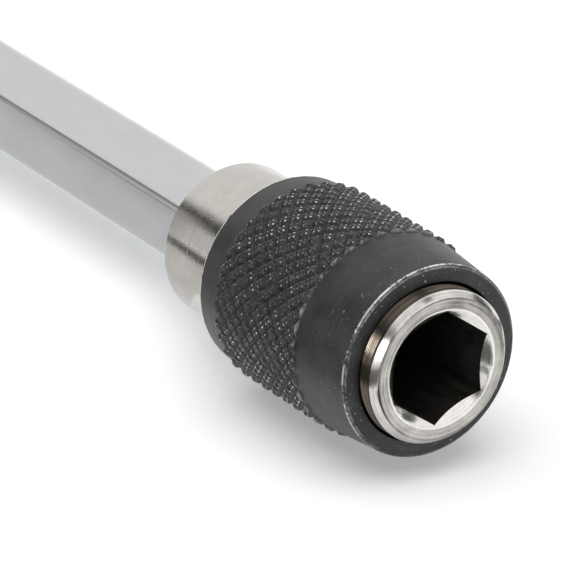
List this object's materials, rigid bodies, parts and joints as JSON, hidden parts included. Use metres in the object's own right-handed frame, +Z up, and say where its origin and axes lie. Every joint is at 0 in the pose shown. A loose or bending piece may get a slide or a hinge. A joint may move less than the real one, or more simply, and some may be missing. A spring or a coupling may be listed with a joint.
{
  "type": "bit driver",
  "caption": "Hand bit driver: a sprung knurled sleeve and a lock ball hold hex bits in a bright steel chuck, on a hex bar with a fluted soft-grip handle.",
  "frame": {"origin": "centre of the base of the box around the tool: halfway along it, on the surface under the belly of the grip", "axes": "+X along the tool from the handle to the nose, +Z up"},
  "size_m": [0.205, 0.033, 0.0306],
  "materials": {
    "turned_steel": "bright turned steel with fine circular tool marks",
    "bar_nickel": "satin nickel plate",
    "black_oxide": "black oxide on steel, worn bright on its edges",
    "spring_steel": "bare spring wire",
    "ball_steel": "polished",
    "magnet_nickel": "nickel plate",
    "hard_plastic": "fine moulded grain",
    "soft_rubber": "matt soft-touch"
  },
  "bodies": {
    "driver": {"chuck_body": "turned_steel", "bit_magnet": "magnet_nickel", "rear_collar": "turned_steel", "return_spring": "spring_steel", "drive_shaft": "bar_nickel", "handle_core": "hard_plastic", "soft_grip": "soft_rubber", "end_cap": "hard_plastic"},
    "sleeve": {"release_sleeve": "black_oxide"},
    "ball": {"lock_ball": "ball_steel"}
  },
  "joints": [
    {"name": "sleeve_slide", "type": "slide", "parent": "driver", "child": "sleeve", "axis": [-1, 0, 0], "range_m": [0, 0.0027], "stiffness_N_per_m": 600, "springref_m": -0.004, "deforming": ["return_spring"]},
    {"name": "ball_slide", "type": "slide", "parent": "driver", "child": "ball", "axis": [0, -0.9972, 0.075], "range_m": [0, 0.00054]}
  ],
  "couplings": [
    {"joint": "ball_slide", "follows": "sleeve_slide", "ratio": 0.2}
  ]
}
